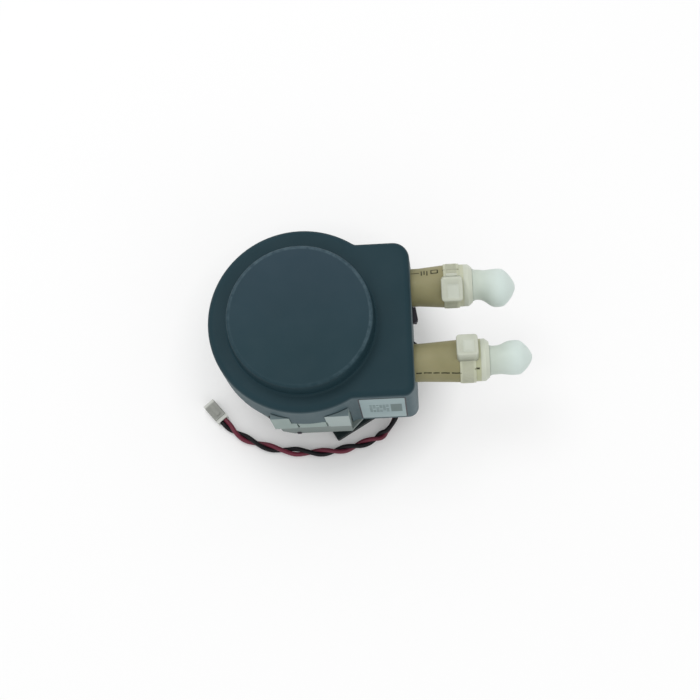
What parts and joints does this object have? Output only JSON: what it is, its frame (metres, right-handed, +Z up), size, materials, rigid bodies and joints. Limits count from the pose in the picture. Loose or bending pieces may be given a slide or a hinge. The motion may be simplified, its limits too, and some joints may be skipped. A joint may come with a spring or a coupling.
{
  "type": "peristaltic pump head",
  "caption": "Roller pump head with a dark cover, gear motor, three-armed foot, two clamped and capped tube ends and a short twisted lead with a two-pole plug.",
  "frame": {"origin": "on the rotor's axis, in the plane that the foot stands on, at the centre of the foot's hole circle", "axes": "+Z up along the rotor's axis, +X the way the two tube ends leave, +Y towards the upper tube end"},
  "size_m": [0.136, 0.08, 0.069],
  "materials": {
    "cover_plastic": "fine moulded texture, satin",
    "dark_plastic": "matt",
    "black_plastic": "matt",
    "black_rubber": "matt",
    "case_plastic": "satin",
    "inner_plastic": "smooth acetal",
    "roller_plastic": "smooth, low friction",
    "steel": "bright",
    "brass": "bright",
    "bronze": "oiled sintered bronze",
    "tube_rubber": "translucent, satin",
    "nylon": "natural nylon, slightly translucent",
    "cap_silicone": "translucent silicone, satin",
    "label_paper": "matt film",
    "wire_insulation": "one red and one black wire, twisted",
    "plug_plastic": "satin"
  },
  "bodies": {
    "frame": {"pump_cover": "cover_plastic", "tube_retainer": "dark_plastic", "motor_end_cap": "dark_plastic", "mounting_foot": "black_plastic", "lead_grommet": "black_rubber", "gearbox_housing": "case_plastic", "gearbox_base": "case_plastic", "track_housing": "inner_plastic", "foot_screws": "steel", "gear_case_screws": "steel", "cover_screws": "steel", "motor_screws": "steel", "idler_pin": "steel", "gear_plate": "steel", "motor_can": "steel", "motor_terminals": "brass", "plug_contacts": "brass", "upper_bearing": "bronze", "lower_bearing": "bronze", "pump_tube": "tube_rubber", "barb_connector_upper": "nylon", "barb_connector_lower": "nylon", "hose_clamp_upper": "nylon", "hose_clamp_lower": "nylon", "rating_label": "label_paper", "lead_wires": "wire_insulation", "lead_plug": "plug_plastic"},
    "rotor": {"rotor_hub": "inner_plastic", "rotor_cap": "inner_plastic", "rotor_cap_screws": "steel", "rotor_washer": "steel", "rotor_screw": "steel", "drive_shaft": "steel", "output_gear": "inner_plastic", "thrust_washer": "inner_plastic", "roller_pin_1": "steel", "roller_pin_2": "steel", "roller_pin_3": "steel"},
    "roller_1": {"roller_1": "roller_plastic"},
    "roller_2": {"roller_2": "roller_plastic"},
    "roller_3": {"roller_3": "roller_plastic"},
    "idler": {"idler_gear": "inner_plastic"},
    "motor_armature": {"motor_shaft": "steel", "motor_pinion": "brass"},
    "upper_cap": {"end_cap_upper": "cap_silicone"},
    "lower_cap": {"end_cap_lower": "cap_silicone"}
  },
  "joints": [
    {"name": "rotor_spin", "type": "hinge", "parent": "frame", "child": "rotor", "pos_m": [0, 0, 0.045], "axis": [0, 0, 1], "continuous": true},
    {"name": "roller_1_spin", "type": "hinge", "parent": "rotor", "child": "roller_1", "pos_m": [0, 0.0212, 0.0472], "axis": [0, 0, 1], "continuous": true},
    {"name": "roller_2_spin", "type": "hinge", "parent": "rotor", "child": "roller_2", "pos_m": [-0.01836, -0.0106, 0.0472], "axis": [0, 0, 1], "continuous": true},
    {"name": "roller_3_spin", "type": "hinge", "parent": "rotor", "child": "roller_3", "pos_m": [0.01836, -0.0106, 0.0472], "axis": [0, 0, 1], "continuous": true},
    {"name": "idler_spin", "type": "hinge", "parent": "frame", "child": "idler", "pos_m": [0.02237, 0.0116, 0.0272], "axis": [0, 0, 1], "continuous": true},
    {"name": "motor_spin", "type": "hinge", "parent": "frame", "child": "motor_armature", "pos_m": [0.02377, -0.00334, 0.0252], "axis": [0, 0, 1], "continuous": true},
    {"name": "upper_cap_pull", "type": "slide", "parent": "frame", "child": "upper_cap", "axis": [1, 0, 0], "range_m": [0, 0.012]},
    {"name": "lower_cap_pull", "type": "slide", "parent": "frame", "child": "lower_cap", "axis": [1, 0, 0], "range_m": [0, 0.012]}
  ],
  "couplings": [
    {"joint": "roller_1_spin", "follows": "rotor_spin", "ratio": -4.5333},
    {"joint": "roller_2_spin", "follows": "rotor_spin", "ratio": -4.5333},
    {"joint": "roller_3_spin", "follows": "rotor_spin", "ratio": -4.5333},
    {"joint": "idler_spin", "follows": "rotor_spin", "ratio": -5},
    {"joint": "motor_spin", "follows": "rotor_spin", "ratio": 20}
  ]
}
